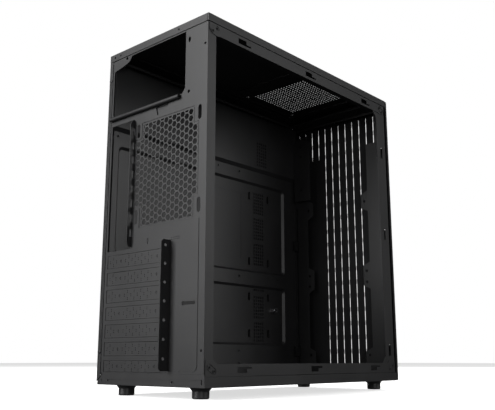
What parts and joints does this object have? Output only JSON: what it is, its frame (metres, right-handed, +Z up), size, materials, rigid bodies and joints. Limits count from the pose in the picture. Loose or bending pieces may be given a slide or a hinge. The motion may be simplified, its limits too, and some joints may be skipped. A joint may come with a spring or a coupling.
{
  "type": "computer tower case",
  "caption": "Empty black computer tower case with its open side uncovered: folded steel chassis, pressed board tray, slotted front bezel, round feet.",
  "frame": {"origin": "centre of the bounding box in plan, on the surface that the feet stand on", "axes": "+Z up; +Y out of the rear, where the ports and cards are; +X towards the side that the board is fixed to, so the open side faces -X and the bezel faces -Y"},
  "size_m": [0.179, 0.3976, 0.423],
  "materials": {
    "black_steel": "matte fine-textured powder coat",
    "bezel_plastic": "fine spark-eroded texture",
    "foot_plastic": "smooth, slightly glossy",
    "plated_steel": "bright zinc plate",
    "black_screw": "black oxide",
    "lens_plastic": "milky light pipe"
  },
  "bodies": {
    "chassis": {"rear_panel": "black_steel", "top_panel": "black_steel", "bottom_panel": "black_steel", "bottom_rear_lip": "black_steel", "board_tray": "black_steel", "front_frame": "black_steel", "frame_top_fold": "black_steel", "front_post": "black_steel", "upper_side_rail": "black_steel", "lower_side_rail": "black_steel", "lower_rail_fold": "black_steel", "drive_plate": "black_steel", "rivets": "black_screw", "slot_cover_1": "black_steel", "slot_cover_2": "black_steel", "slot_cover_3": "black_steel", "slot_cover_4": "black_steel", "slot_cover_5": "black_steel", "slot_cover_6": "black_steel", "slot_cover_7": "black_steel", "tray_peg": "plated_steel", "foot_rear_open": "foot_plastic", "foot_rear_tray": "foot_plastic", "foot_front_open": "foot_plastic", "foot_front_tray": "foot_plastic", "foot_screws": "plated_steel"},
    "tray_side_panel": {"tray_side_panel": "black_steel", "panel_screws": "black_screw"},
    "front_bezel": {"front_bezel": "bezel_plastic", "bezel_clips": "bezel_plastic", "port_housing": "bezel_plastic", "usb_ports": "plated_steel", "audio_jacks": "plated_steel", "status_lens": "lens_plastic"},
    "power_button": {"power_button": "bezel_plastic"},
    "reset_button": {"reset_button": "bezel_plastic"}
  },
  "joints": [
    {"name": "side_panel_slide", "type": "slide", "parent": "chassis", "child": "tray_side_panel", "axis": [0, 1, 0], "range_m": [0, 0.016]},
    {"name": "bezel_pull", "type": "slide", "parent": "chassis", "child": "front_bezel", "axis": [0, -1, 0], "range_m": [0, 0.03]},
    {"name": "power_press", "type": "slide", "parent": "front_bezel", "child": "power_button", "axis": [0, 1, 0], "range_m": [0, 0.0012], "stiffness_N_per_m": 800, "springref_m": -0.001},
    {"name": "reset_press", "type": "slide", "parent": "front_bezel", "child": "reset_button", "axis": [0, 1, 0], "range_m": [0, 0.0012], "stiffness_N_per_m": 600, "springref_m": -0.001}
  ]
}
